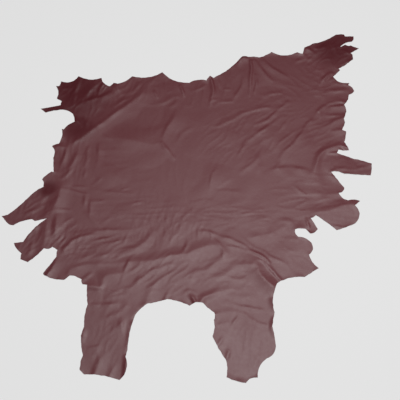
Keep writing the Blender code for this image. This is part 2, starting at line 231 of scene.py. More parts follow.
MAIN_FOLDS = {
    "left shoulder": (
        ((4, 8, 4), 9, 10, ((-91, 39), (-88, 40.2), *SHOULDER_LINE, (-37.5, 86.5), (-35.5, 91))),
        ((2, 5, 2), 3, 2, ((-60, 69), (-57.5, 71.7), (-54, 74.5), (-50, 76.8), (-46, 79))),
        ((2, 5, 4), 2.5, 6, ((-83, 72.5), (-79, 74.3), (-73.5, 76.5), (-68, 78.5), (-64, 80.3),
            (-61, 82.7), (-59.5, 87))),
        ((3, 5, 3), 4, 1.8, ((-87, 73), (-86.5, 79), (-86, 85), (-84.5, 90), (-83.5, 94.5))),
        ((2, 5, 3), 5, 3.4, ((-81, 76.5), (-78.5, 81), (-75.5, 84.5), (-73, 88.5))),
        ((2, 5, 4), 1.6, 1.5, ((-70, 81.5), (-69.3, 85), (-67.8, 88.5))),
        ((4, 6, 3), 2, 5, ((-98.5, 78.5), (-99, 82.5), (-99.8, 86.5))),
        ((2, 6, 5), 1.8, 2.2, ((-91.8, 26), (-90.7, 30), (-90, 34), (-89.5, 38.5))),
        ((4, 7, 5), 4, 4, ((-97.5, 39), (-94.5, 39.2), (-90.5, 38.8))),
        ((2, 7, 4), 17, 14, ((-66, 47), (-57, 45.8), (-50, 44.5), (-41, 42.8), (-32, 41),
            (-26.5, 42.5))),
    ),
    "middle": (
        ((3, 5.2, 1.5), 3, 9, ((-25.5, 43), (-25, 46), (-23.8, 50), (-21.5, 55), (-19, 59.5),
            (-16.5, 65.5))),
        ((2, 6, 4), 1.3, 1.3, ((-11.2, 79.5), (-12, 83), (-13.7, 87.5))),
    ),
    "neck": (
        ((1, 7, 12), 2.2, 1.4, ((6.8, 70.5), (8, 76), (9.3, 81), (9.3, 86), (8.2, 91),
            (6.8, 94.5))),
        ((6, 11, 7), 2, 5, ((27.5, 107), (29.8, 110), (33, 110.5))),
        ((2, 7, 10), 1.7, 1.3, ((34.6, 80), (34.9, 88), (35.4, 96), (36.2, 102), (35.8, 108))),
        ((5, 5, 2), 2, 3, ((38.5, 108.5), (41.5, 103), (44.7, 98.5), (47, 95), (50, 92))),
        ((3, 5, 2.5), 2.2, 4, ((45, 108), (49.5, 103), (55, 99), (60, 95.5))),
    ),
    "right fore leg": (
        ((4, 5.5, 2), 2, 4, ((74, 118.8), (77, 118), (80.5, 115.5))),
        ((3, 8, 5), 2, 2.5, ((84.5, 89.5), (86.5, 93), (89, 95.8), (92, 98))),
    ),
    "pull lines to the right fore leg": (
        ((2, 6, 8), 2, 5, ((87.5, 69.2), (91, 70.3), (95, 71), (99, 71.2))),
        ((2, 5, 6), 2.5, 5, ((83, 54), (87, 56), (91.5, 58.8), (95, 60.5), (98.5, 61.8))),
    ),
    "right side": (
        ((3, 8, 11), 4.5, 1.6, ((86, 39), (90, 39.5), (95, 39.8), (99.3, 37.5))),
        ((5, 11, 7), 3.4, 4, ((76, 21.5), (77.3, 26), (78.5, 30.5), (80.5, 33.8), (83.5, 36.3),
            (87, 38), (92, 39))),
        ((2, 5, 6), 1.8, 1.2, ((84.5, 34), (88, 34.3), (91.5, 34.6))),
        ((1.5, 10, 15), 7, 14, ((62, -9.3), (70, -9.6), (77.8, -8.8), (84, -7.3), (90, -5.3),
            (95, -4), (99.5, -3.4))),
        ((1, 6, 4), 7, 1.6, ((60, -20.6), (63, -19.7), (66, -19.6))),
        ((3, 8, 6), 1.5, 1.5, ((68.2, -12.5), (68.8, -16), (69.5, -19.5))),
        ((8, 10, 6), 14, 1.2, ((88, 20.2), (95, 18.6), (106, 17.5))),
        ((4, 8, 4), 1.5, 9, ((69.8, -14), (72, -13), (75, -15.5))),
    ),
    "left side": (
        ((3, 5, 2), 2, 6, ((-102.5, 18), (-99, 20), (-95.5, 20))),
        ((4, 10.5, 6), 6, 9, ((-96, -9), (-94.5, -5.5), (-92.5, 0), (-91.2, 5), (-90.8, 9))),
        ((3, 5, 3), 2, 2, ((-99.5, -11), (-97.5, -8.5), (-93, -7.2))),
        ((7, 7, 2), 3.4, 7, ((-92.5, -22), (-92.2, -15.5), (-92.3, -9.5))),
        ((2, 5, 3), 5.5, 4, ((-99, -32.5), (-98.7, -25), (-98.3, -17.5), (-98.5, -14.5))),
        ((5, 7, 3), 2, 5, ((-86, -34), (-83.5, -31.8), (-81.3, -29), (-78, -27), (-74, -25.6),
            (-68, -24.3))),
        ((11, 8, 2), 1.8, 6, ((-95, -51.5), (-92.3, -46.5), (-89.8, -41))),
    ),
    "rump": (
        ((3, 9, 4), 6, 9, ((-52.5, -43), (-46.5, -43), (-40, -42.7), (-35, -42.6), (-29.7, -42.2),
            (-24.3, -40.8), (-18.3, -38.8), (-12.2, -38.2), (-8.5, -37.8), (-5, -35.8),
            (-2, -34.6), (2, -33), (6, -31.7), (10, -31.8), (13.5, -33.8), (15.5, -36))),
        ((2, 5, 2), 3.2, 5, ((-52.5, -40.5), (-50, -37.3), (-46, -35.5), (-41.5, -34),
            (-37.5, -31.5), (-34, -28.5), (-31.5, -25), (-29.8, -22))),
    ),
    "hips": (
        ((2, 8, 5), 1.9, 1.6, ((30, -34.8), (34, -36.8), (38, -38.8), (40.8, -41), (43, -43.8))),
        ((2.5, 6, 7), 2.2, 1.4, ((35.5, -41), (39, -42.6), (42.5, -46), (45.5, -49.8),
            (48.5, -53.5), (50, -55.5))),
        ((4, 14, 20), 6.2, 9, ((35.2, -43.2), (35.9, -47.5), (38.2, -52), (41.6, -56),
            (44.8, -59.2))),
        ((4, 6, 5), 7, 7, ((-62.5, -59.5), (-60.5, -55), (-58, -52.2), (-53.2, -51.2),
            (-49.5, -50.5))),
        ((0.8, 4, 9), 2.4, 6, ((-50.5, -60), (-48.8, -55.5), (-47.7, -51), (-46.2, -46.5),
            (-44.8, -43))),
        ((8, 11, 4), 7, 3.5, ((-71, -59), (-66, -59.5), (-62, -59.5), (-60, -56))),
        ((1, 8, 14), 2.5, 2, ((-6.5, -63.5), (-4.8, -66), (-3, -69.5))),
        ((12, 6, 1.5), 4, 4, ((0.5, -69.3), (2.5, -66.5), (5, -65.2), (9.5, -63.2), (14.5, -62),
            (20, -60))),
    ),
    "hind legs": (
        ((5, 5, 2), 3, 5, ((-62, -113.5), (-61.2, -109), (-60, -106), (-58, -103))),
        ((4, 9, 5), 2.4, 1.5, ((-44.7, -116), (-43.6, -109), (-44.1, -102.5))),
        ((5, 9, 5), 3, 1, ((45, -90), (43.8, -85), (44.7, -80))),
        ((4, 8, 4), 4, 1, ((45.2, -74), (44.8, -69.5), (45, -65.5))),
        ((4, 6, 2), 2, 2.2, ((15.8, -104), (16.7, -101), (17.3, -98.5))),
        ((5, 7, 5), 4, 2, ((16.5, -116), (21, -118), (27, -119))),
    ),
}
print("regions with main folds:", ", ".join(MAIN_FOLDS))

# %% [markdown]
# Between the main folds lie smaller ones, a few millimetres high: pleats that start at a scallop
# of the edge, and creases where the skin was slack. They have the same kind of row. Only the way
# that they are put together differs: the main folds merge where they meet, and the small ones
# lie on top of whatever is there.

# %% The small folds and creases
SMALL_FOLDS = {
    "left shoulder": (
        ((1, 2.6, 1), 2.6, 3, (*SHOULDER_LINE,)),
        ((2, 4, 3), 2, 2.5, ((-54.8, 80.5), (-56.3, 84), (-58.8, 88.8))),
        ((1.5, 3, 2), 1, 1.2, ((-68.5, 81), (-67.5, 84), (-65.5, 87))),
        ((1.5, 2.5, 1.5), 1.5, 2, ((-94, 85.5), (-92, 86), (-90, 85.5))),
        ((3, 4, 2), 1.8, 2, ((-85, 61), (-82.5, 58), (-81, 55))),
        ((1, 2.5, 1), 1.5, 2, ((-78.5, 60), (-77.3, 57.5), (-76.8, 55.5))),
        ((2, 4.5, 2), 3, 4, ((-87, 22.5), (-84.5, 27), (-83, 31), (-82.5, 36))),
        ((1, 3, 2), 1.8, 2.5, ((-76, 24.5), (-75.5, 31), (-75, 38))),
        ((1, 3, 2), 2, 4, ((-68.3, 26), (-67.7, 32), (-67.8, 40.5))),
        ((1, 2.5, 1), 1.5, 1.5, ((-76.3, 16), (-76, 18.5), (-76, 21))),
        ((2, 3, 1), 2, 2, ((-93, 15.3), (-89, 17), (-86, 20.5), (-84, 23))),
        ((0.8, 1.2, 0.8), 2.5, 5, ((-66, 36.8), (-55, 36.7), (-47, 36.5))),
        ((1.5, 1.5, 0.5), 1.5, 2, ((-69.5, 53), (-67, 49.8), (-64, 46.8), (-59, 44.5))),
    ),
    "middle": (
        ((4, 4.5, 2), 1.8, 3, ((-25.5, 42), (-22.8, 38.2), (-20.2, 34.5), (-17.6, 30.8))),
        ((0.8, 1.7, 0.8), 2.5, 2.5, ((-13.5, 43), (-13, 47.5), (-10, 51.3), (-5, 54.3))),
        ((0.8, 2, 1.2), 4, 2.4, ((-41, 73), (-36, 72.6), (-31, 73), (-26.5, 73.6), (-23, 75.2),
            (-19.3, 77.6), (-15.5, 79))),
        ((1, 2, 1), 1.8, 3, ((-20, 71), (-18, 72.2), (-15.5, 75))),
        ((1, 4.5, 2), 1.2, 1.4, ((-29.3, 77), (-30.5, 80.5), (-31.5, 83))),
        ((2, 4, 3), 3, 2, ((-50, 81.5), (-46, 83.5), (-42.5, 88))),
        ((1, 2.5, 1), 2.5, 1.5, ((-35, 88.5), (-33, 91.5), (-31, 94.5))),
        ((2, 4, 2), 2, 5, ((-29, 96.8), (-26.5, 98), (-23, 95.5))),
        ((0.6, 1.4, 0.6), 2, 6, ((10, 5.5), (15, 6.7), (22, 6.2), (30, 5.6))),
        ((0.4, 1, 0.4), 1.8, 1.6, ((12.5, 9.5), (15.5, 12), (20, 15.5))),
        ((0.8, 2.4, 1), 1.2, 2.5, ((6, 8), (6.8, 13), (8, 19), (10, 21.8))),
        ((0.5, 1.3, 0.5), 1.5, 3, ((-5.5, -2), (0, -0.8), (6, -0.5), (9, -1))),
    ),
    "neck": (
        ((1, 2.5, 1), 2.5, 2, ((-5, 83), (0, 85.5), (4, 88.5))),
        ((1, 2.5, 2.5), 2, 2, ((14.5, 86.5), (13, 90), (11.8, 94))),
        ((1, 4.5, 2), 1.3, 1.6, ((37.5, 81), (39, 86.5), (39.5, 91), (38.5, 96.5))),
        ((1, 2, 1), 2.5, 1.4, ((10.5, 71.5), (13, 74.2), (17.5, 74.6), (22, 74.8))),
        ((1, 1.5, 0.5), 1.5, 1.2, ((7.5, 74.5), (9.5, 76), (12.5, 76.3))),
        ((1, 2.5, 1), 2, 1.8, ((22.3, 75.5), (24.8, 79.8), (27.2, 84), (29.2, 88), (30.3, 93))),
        ((0.5, 1.5, 0.5), 2, 1.3, ((17, 84.3), (19.5, 84.5), (22, 84.2))),
        ((1, 2.5, 1.5), 2.5, 1.6, ((43, 79.3), (47, 80.3), (50.7, 81.4), (56, 82))),
        ((0.5, 1.5, 0.5), 1.5, 1.5, ((43, 77.5), (45.5, 78.4), (48, 78.5))),
        ((0.5, 1.2, 0.5), 2, 2, ((48, 75), (52, 76), (57, 77.5))),
    ),
    "right fore leg": (
        ((3, 4, 2), 1.5, 4, ((67.5, 115), (70.5, 114.7), (73.5, 113.5))),
        ((1.5, 3, 1.5), 2.5, 2, ((68.5, 108), (71.5, 109.3), (75.5, 111.3))),
        ((1, 2.5, 1), 2, 1.5, ((75.5, 109), (77.5, 109.8), (79.5, 111))),
        ((1.5, 4, 1.5), 2.3, 2.5, ((81, 113), (83, 114.8), (85, 117.8))),
        ((1, 3, 1), 4, 3, ((81, 118.5), (85.5, 119), (90, 121.5))),
        ((1, 3, 1), 1.8, 2.5, ((96, 115.5), (96, 120), (96, 125.5))),
        ((1, 3, 1), 2, 2, ((99.5, 117), (102, 117), (104, 117.5))),
        ((1, 3, 2), 2, 2, ((102.5, 115), (105, 115.3), (107, 115))),
        ((1, 3, 2), 1.5, 1.5, ((90, 91), (92, 92.8), (94.5, 93))),
        ((2, 4, 3), 3, 2.2, ((88.5, 82.7), (92, 83.3), (96.5, 83.6), (102.5, 83.8))),
        ((0.5, 1.5, 0.5), 1.5, 1.5, ((84, 81.3), (86, 81.8), (88, 81.5))),
        ((1, 2, 1), 1.5, 2, ((91, 89.5), (93, 90), (95.5, 89.5))),
        ((1, 3, 2), 1.5, 2, ((100, 88.5), (102.5, 88.8), (104, 89))),
        ((2, 4, 5), 4, 1.2, ((88, 73.5), (93, 75), (97, 74.8), (100.5, 73.5))),
    ),
    "pull lines to the right fore leg": (
        ((1, 3, 2), 3.2, 2, ((9, 54.6), (13.2, 55.6), (16.2, 57.4), (19.8, 59.5), (23.4, 61),
            (26.4, 62.8), (29.5, 65.3), (33, 66.8), (37.3, 68.3), (41, 69.4), (47, 69.8))),
        ((1.5, 4, 1.5), 1.6, 2.2, ((37.5, 56.5), (42, 58.2), (46, 60), (49, 63), (52.5, 66.5),
            (56.5, 70.5), (60.5, 74.5))),
        ((1.2, 3.4, 1.2), 1.8, 2.4, ((26.4, 33.4), (27.5, 36.5), (29.5, 39.5), (31.9, 43),
            (35.5, 46.7), (40.3, 50.5), (44.5, 53.5), (49, 57), (53, 60.5), (57, 63))),
        ((0.8, 2, 0.8), 1.3, 1.6, ((54, 51.5), (56, 55), (58, 58.2), (60.5, 61.5))),
        ((0.8, 2.2, 0.8), 1.3, 1.6, ((53, 42.2), (57.5, 46), (61.3, 49), (65, 52))),
        ((2, 4.5, 1.2), 1.8, 3.2, ((51, 24.5), (54, 30), (57.5, 35.5), (61, 39.7), (64, 42.8),
            (66.6, 46.4), (69.6, 50.8), (71.5, 54.3), (73.3, 57.3), (76.8, 60.8), (79.8, 65),
            (82, 68.6), (84.5, 70.8))),
        ((2, 3, 2), 1.6, 1.5, ((81.5, 67), (85.5, 70.7), (89.7, 73), (95, 74))),
        ((1, 2.5, 1), 2.5, 3, ((27, 20.5), (31.5, 23.8), (35, 26.8), (38.5, 30.5), (41, 36),
            (42, 39))),
        ((1, 2.5, 2), 1.8, 2, ((86, 64), (92, 63.5), (98, 64))),
        ((2, 4, 3), 2, 4, ((90, 51.2), (94, 51.5), (98, 51.5))),
        ((0.3, 1.6, 0.8), 0.9, 2.4, ((81, 61.5), (82, 64), (83, 66.3))),
        ((0.8, 2.2, 0.8), 1.6, 2, ((50, 26.5), (52.6, 30.6), (55.5, 35), (58.5, 39))),
    ),
    "right side": (
        ((1, 3.4, 2), 2.4, 12, ((44, 19), (47, 21.3), (50, 22.6), (55, 23.4), (60, 23.2),
            (65, 22.9), (69, 21.8), (72.5, 20), (76, 18))),
        ((0.5, 2, 0.5), 2.5, 3, ((38.5, 18), (38.8, 22.5), (38.5, 27))),
        ((1, 3, 2), 2.5, 1.8, ((103, 21.5), (108, 23.3), (113.5, 25.3))),
        ((1, 2, 1), 2, 2, ((90, 22.3), (94, 22.8), (98, 22.5))),
        ((1, 3, 1), 2, 1.5, ((86, 20.7), (88, 21.2), (90.5, 21.5))),
        ((2, 4, 2), 2, 4, ((84.5, 18), (87.5, 17.5), (90, 15))),
        ((0.2, 0.6, 0.2), 1.8, 3, ((64.5, 12.3), (68.5, 14), (73, 13.7), (79, 11.9), (85.5, 8.8))),
        ((1, 2, 1), 1.2, 1.8, ((62, 9.5), (65, 6.7), (69, 4.4))),
        ((0.6, 2.6, 3.8), 5, 5, ((64.5, 8.5), (69.5, 6), (73.5, 4.9), (79.5, 4.1), (85, 4.5),
            (90.5, 5))),
        ((1, 2.8, 1.2), 2.6, 4.5, ((64.5, -2.5), (70, -2.3), (76, -1), (82, 0.8), (88, 2))),
        ((1, 3, 1), 1.8, 1.5, ((86, -18.6), (89, -19.3), (92.5, -19.5))),
        ((1, 3.5, 2.5), 2.6, 6, ((47.5, -17.2), (50.3, -15.7), (54, -15), (58, -15.3),
            (59.2, -17.5), (59.5, -20.5))),
        ((1, 4, 2), 6, 6, ((28, -27.5), (33, -26.3), (39.6, -24.8), (45.6, -23.4), (50, -21),
            (55, -18.5))),
        ((0.5, 1.5, 1.5), 1.3, 2, ((52, -26.5), (57, -27.3), (62, -27.6))),
        ((0.5, 2, 0.5), 5, 3, ((48, -35), (54, -35.5), (62, -35))),
        ((0.5, 1.6, 0.5), 1.4, 1.2, ((28, -7.6), (34, -7.2), (41, -6.8))),
        ((0.5, 1.8, 0.5), 1.4, 1.2, ((20, -11), (26, -10.4), (33, -9.3), (47, -9))),
        ((0.5, 1.2, 0.5), 2, 1.5, ((36, -13.5), (41, -13), (47, -13))),
    ),
    "left side": (
        ((1, 3, 2), 6, 4, ((-108, -3), (-104, -0.3), (-100, 2), (-96, 5), (-92.5, 8))),
        ((0.8, 1.5, 0.8), 2.5, 2.5, ((-110, -10.5), (-105, -6), (-101, -3.5))),
        ((1.5, 3, 1), 2, 2.5, ((-113, -11.5), (-109.5, -8.5), (-106.5, -7))),
        ((1, 2, 1), 1.3, 2, ((-92.5, -7), (-88.5, -7.2), (-84, -7.3))),
        ((1.5, 3, 1.5), 2, 2.5, ((-108.5, -39), (-107, -34), (-106.3, -30))),
        ((1, 2.5, 1), 1.5, 2, ((-110.5, -29), (-109.5, -26), (-107.5, -23))),
        ((1, 3, 1), 1.5, 2.5, ((-106.5, -23), (-105, -20), (-103, -18.2))),
        ((1, 2.5, 1), 1.3, 2.5, ((-88.5, -32), (-86, -28), (-84, -24))),
        ((1, 2.5, 1), 1.3, 2.5, ((-90.5, -29), (-88, -24.5), (-85, -20.5))),
        ((1, 2, 1), 1.3, 1.5, ((-86, -25), (-82.5, -20), (-78.5, -16.5))),
        ((1, 2, 1), 1.3, 1.5, ((-84, -29), (-81, -25), (-77.5, -22))),
        ((1, 2, 1), 1.2, 1.4, ((-90, -20), (-87, -16), (-83, -13))),
        ((1.2, 2.8, 0.8), 2.4, 4, ((-81, -24), (-75, -23.4), (-68.3, -22.2), (-62, -21.5),
            (-52, -21.3), (-42, -21))),
        ((1, 2.5, 1), 1.6, 3, ((-75, -3.5), (-74.9, 0), (-75.2, 4))),
        ((1, 3.5, 1.5), 1.8, 4.5, ((-70.8, -12), (-70.7, -6.5), (-71.3, -1))),
        ((1.5, 2, 1), 2.5, 3, ((-73, -10), (-69, -14), (-65, -18))),
        ((1.5, 3, 1.2), 2.6, 4, ((-82.5, -51), (-81.3, -48), (-78.5, -46.7), (-73, -45),
            (-66, -44.5), (-58, -44))),
        ((3, 3, 1), 2, 1.8, ((-73.5, -55.5), (-70.5, -52.8), (-67.5, -50.5))),
        ((1, 2.5, 1), 1.4, 2, ((-91, 7.8), (-84, 6.9), (-79, 5), (-74, 3.9))),
        ((1, 2, 1), 1.3, 2, ((-83, 9.6), (-78, 9.3), (-73.5, 9.4))),
        ((0.8, 1.5, 0.5), 2, 3, ((-70, 7.8), (-62, 6), (-50, 4.9), (-44, 4.7))),
        ((0.8, 1.5, 0.8), 1.5, 1.5, ((-70, 11), (-67.5, 13.5), (-65, 15.5))),
        ((0.8, 1.8, 0.8), 1.8, 2, ((-70.5, -1), (-67, -1), (-62, -0.7))),
        ((0.8, 1.8, 0.8), 1.5, 2, ((-46, -3.3), (-41, -2.2), (-35.5, -1))),
        ((0.5, 1.5, 0.5), 1.5, 1.5, ((-53, 6.5), (-50, 8), (-46, 9.3))),
        ((0.5, 1.3, 0.5), 2, 2, ((-64, -18), (-60, -14), (-56, -10.5))),
    ),
    "rump": (
        ((1, 2.5, 1), 1.4, 2.2, ((-77, -32), (-70, -29.8), (-64, -27.8), (-59, -26.8))),
        ((1, 2.5, 1), 1.8, 2, ((-59, -32), (-55, -30.5), (-51, -28))),
        ((1, 2, 1), 3, 4, ((-66, -38), (-60, -38.3), (-54, -37.7))),
        ((1, 2, 1), 3, 3, ((-76, -41), (-71, -39), (-67, -35))),
        ((1.5, 3.5, 1.5), 2, 2, ((-10.7, -36.5), (-8.8, -33), (-6.8, -28.5))),
        ((1, 3, 1), 1.8, 5, ((-0.5, -22.5), (3, -22.2), (6.5, -22.8))),
        ((1, 2, 1), 1, 1.2, ((7.3, -27), (7.2, -24.5), (6.5, -22.5))),
        ((1, 2, 1), 1.2, 1.5, ((-1, -26), (-0.9, -23), (-1.5, -19.5))),
        ((1.5, 3.5, 2), 1.8, 2.2, ((6.5, -23), (13, -25.8), (18, -27), (22, -28.8), (26, -30.8),
            (30, -33.5))),
        ((1, 2.5, 1), 1.3, 1.6, ((18, -32.4), (22, -33.2), (25.5, -34.2), (29.5, -36))),
        ((1, 2.5, 1), 1.5, 1.5, ((10, -28), (12, -31), (14.5, -34))),
        ((1, 3, 1), 2, 1, ((14.5, -39), (14.8, -36.5), (14.6, -34))),
        ((1.2, 3.8, 2.4), 4, 4, ((-6, -57), (-4.5, -52.5), (-3, -50.5), (1, -49.5), (4, -48.3),
            (6.8, -45.8), (10, -43.2), (13.5, -41.2), (16, -38.5), (16.5, -35.5))),
        ((1.2, 3.6, 1.8), 3.6, 4, ((8, -53.3), (12, -52.6), (15.5, -51), (18.3, -48.7),
            (21.3, -46), (24.5, -44.8), (29, -44.8), (32, -45.2), (34, -42.5), (36, -41))),
        ((0.8, 2.2, 0.8), 2, 3.5, ((14.5, -52.3), (18, -53.3), (22, -54), (26, -54.2), (31, -54))),
        ((0.8, 2, 0.8), 3, 4, ((19, -65.5), (26, -66), (33, -65.5))),
        ((1, 3, 1), 2, 3, ((-31, -50.5), (-26, -47.5), (-21, -45.2), (-15, -44.5))),
        ((2, 4, 1.5), 2.2, 3.5, ((-45, -61), (-41.5, -58.8), (-38.8, -55.8), (-35.5, -53),
            (-32.3, -50), (-29, -47.8))),
        ((0.6, 1.8, 0.6), 2.8, 4, ((-31, -59.5), (-25.5, -56), (-21, -52.3), (-16.5, -48.5))),
        ((1.5, 3.5, 1.5), 2, 2, ((-44, -49.8), (-40.5, -48), (-37.8, -45.5), (-37, -42))),
        ((3, 3.5, 1), 3.6, 6, ((-34, -71), (-32.5, -67.5), (-31, -64), (-29.3, -60),
            (-26, -56.5))),
        ((0.5, 1.5, 0.5), 1, 1.3, ((-21.5, -17.5), (-21.6, -14), (-21.5, -10.5))),
        ((0.5, 1.2, 0.5), 1, 1.3, ((-26.7, -16), (-26.7, -13), (-26.7, -10.5))),
        ((0.8, 1.9, 0.8), 1.8, 2, ((-18.5, -28.5), (-15.5, -23.5), (-12.3, -18), (-11, -13))),
        ((0.6, 1.5, 0.6), 1.2, 1.4, ((-23.5, -27.5), (-21.8, -24), (-20.8, -20.5))),
        ((0.5, 1.2, 0.5), 1.5, 2, ((-12, -13.5), (-7.7, -9.8), (-4, -6))),
        ((0.6, 1.5, 0.6), 1.3, 1.8, ((-48.5, -30), (-47.3, -27), (-46.3, -24))),
    ),
    "hips": (
        ((1, 3, 1), 1.6, 2.5, ((27.5, -26.5), (30.8, -30.6), (35.5, -33.6), (39.5, -35.6),
            (43, -38.6), (49, -41.8), (54, -45))),
        ((0.8, 1.5, 0.8), 1.2, 1.5, ((-60, -60.5), (-54, -62.5), (-47, -65.5))),
        ((0.8, 1.5, 0.8), 1.2, 1.5, ((-56, -64.5), (-51, -62), (-45, -59.5))),
        ((0.8, 1.5, 0.8), 1.2, 1.5, ((-58, -67), (-52, -65.5), (-45, -64))),
        ((0.8, 2, 0.8), 2, 2, ((-10, -62.5), (-6, -61.8), (-2, -63.5))),
        ((1, 3, 1), 5, 3, ((-8, -66), (1, -65.5), (8, -64))),
        ((5, 4, 1.5), 1.8, 2, ((-21.8, -68), (-20.8, -65.5), (-19.5, -62.5))),
    ),
    "hind legs": (
        ((2, 3, 1), 2.2, 4, ((-66, -71), (-58, -71), (-52, -70.3), (-45.5, -69.8))),
        ((1, 3.5, 2.5), 2, 3.5, ((-57, -79), (-52, -77.2), (-48.5, -74.5), (-45.5, -71.8))),
        ((1, 3, 1), 5, 3, ((-53.5, -88), (-48, -83), (-45.5, -79))),
        ((1.5, 4, 2.5), 1.8, 1.6, ((-43.3, -96), (-42.7, -89), (-40.9, -82))),
        ((1, 3, 1), 1.5, 2.5, ((-70.5, -98), (-66, -97.8), (-61, -96.8))),
        ((5, 3, 1), 2.5, 3, ((-53.5, -115.5), (-52, -111.5), (-50, -108))),
        ((0.8, 1.5, 0.8), 2, 2.5, ((-66, -104), (-62.5, -100), (-60, -97))),
        ((3, 4, 2), 1.5, 2.5, ((-71, -93), (-70.5, -90.5), (-70, -87))),
        ((1, 3.5, 1.5), 1.6, 2.5, ((16.5, -68.4), (20.5, -70.6), (25, -72), (31, -73),
            (38.5, -74.3))),
        ((4, 3.5, 1.5), 3, 3.5, ((8.5, -77), (14.8, -75.6), (21, -75.2), (26, -76.6), (29, -79))),
        ((1, 2.5, 1), 1.6, 1.8, ((18.3, -85), (21.3, -80.8), (24.6, -77))),
        ((1, 1.8, 0.8), 1.4, 2, ((9.5, -84), (13, -83), (17, -81.8))),
        ((1, 2.5, 1.5), 1.4, 2, ((30.5, -79.5), (35, -82), (40, -83.8))),
        ((1, 3, 3), 4.5, 3, ((31.5, -110), (33.5, -105.5), (35, -102.5))),
        ((2, 3, 1), 1.5, 2, ((9.5, -97), (12, -94), (14, -91))),
        ((2, 4, 2), 6, 2, ((-41, -78), (-37, -73), (-31, -68.5))),
        ((1, 3.5, 1), 7, 2, ((-47, -89), (-47.3, -84), (-48.3, -78.5))),
    ),
}
print(sum(map(len, MAIN_FOLDS.values())), "main folds and",
      sum(map(len, SMALL_FOLDS.values())), "small ones")

# %% [markdown]
# To know how high the sheet stands at a point, the point is measured against the crest: how far
# off it is, on which side, and how far along. Only points near a fold are measured, which makes
# the sum quick. Leather creases like a tent: the sides are steepest at the crest, which is only a
# few millimetres round, and run out softly at the foot.

# %% Measure points against a crest
CREST_ROUND = 0.35
FOOT_SOFTNESS = 1.6
PATH_STEP = 1.5
TINY = 1e-9


def smooth_path(points, step):
    """A Catmull-Rom curve through the points, with a point about every step."""
    p = np.array(points, float)
    p = np.vstack((2 * p[0] - p[1], p, 2 * p[-1] - p[-2]))
    pieces = []
    for a, b, c, d in zip(p, p[1:], p[2:], p[3:]):
        count = max(1, round(np.hypot(*(c - b)) / step))
        t = np.arange(count)[:, None] / count
        pieces.append(b + (c - a) / 2 * t + (2 * a - 5 * b + 4 * c - d) / 2 * t**2
                      + (3 * b - 3 * c + d - a) / 2 * t**3)
    return np.vstack(pieces + [p[-2:-1]])


def measured(points, path):
    """From each point to the path: how far, how much to its left (1) or right (-1), how far on."""
    steps = np.diff(path, axis=0)
    lengths = np.hypot(*steps.T)
    walked = np.concatenate(([0], np.cumsum(lengths)))
    nearest = np.full(len(points), np.inf)
    lean = np.zeros(len(points))
    along = np.zeros(len(points))
    for start, step, length, before in zip(path[:-1], steps, lengths, walked):
        away = points - start
        t = np.clip(away @ step / length**2, 0, 1)
        gap = away - t[:, None] * step
        distance = np.hypot(*gap.T)
        closer = distance < nearest
        nearest[closer] = distance[closer]
        side = (step[0] * gap[:, 1] - step[1] * gap[:, 0]) / (length * distance + TINY)
        lean[closer] = side[closer]
        along[closer] = (before + t * length)[closer] / walked[-1]
    return nearest, lean, along


def fold_height(points, fold):
    """The height, in cm, that one fold gives the sheet at each point."""
    path = smooth_path(fold.crest, PATH_STEP)
    reach = max(fold.left, fold.right)
    near = ((points > path.min(axis=0) - reach) & (points < path.max(axis=0) + reach)).all(axis=1)
    distance, lean, along = measured(points[near], path)
    start, middle, end = fold.heights  # a parabola along the crest passes all three
    crest = start * (1 - along)**2 + (4 * middle - start - end) * along * (1 - along)
    crest = (crest + end * along**2) / MM_PER_CM
    width = (fold.left + fold.right + lean * (fold.left - fold.right)) / 2
    off = np.hypot(distance, CREST_ROUND) - CREST_ROUND
    height = np.zeros(len(points))
    height[near] = crest * np.clip(1 - off / width, 0, 1)**FOOT_SOFTNESS
    return height


def merged(points, table, blend):
    """The height of all the folds of a table. A blend of 1 adds them up, and with a higher one
    the higher fold leads where two meet."""
    folds = [Fold(*row) for rows in table.values() for row in rows]
    return sum(fold_height(points, fold)**blend for fold in folds)**(1 / blend)


sample = Fold((2, 5, 2), 3, 2, ((0, 0), (10, 0)))
across = [(5, 3), (5, 1), (5, 0), (5, -1)]
print("a 5 mm fold, measured across:",
      (fold_height(np.array(across), sample) * MM_PER_CM).round(1).tolist(), "mm")

# %% [markdown]
# ## Slack skin and curled edges
#
# Skin that was never pulled flat keeps a gentle slackness: low bubbles a hand wide, and fine
# wrinkles that run with the pull. Both are smooth noise. For wrinkles the noise is stretched
# along one heading, and a crease stands wherever it passes through zero. A row says where such a
# patch lies, how big it is, which way its wrinkles run, how far apart and how long they are, and
# how high.

# %% Patches of fine wrinkles
Patch = namedtuple("Patch", "x y width depth heading apart long height")
CREASE_SHARE = 0.5

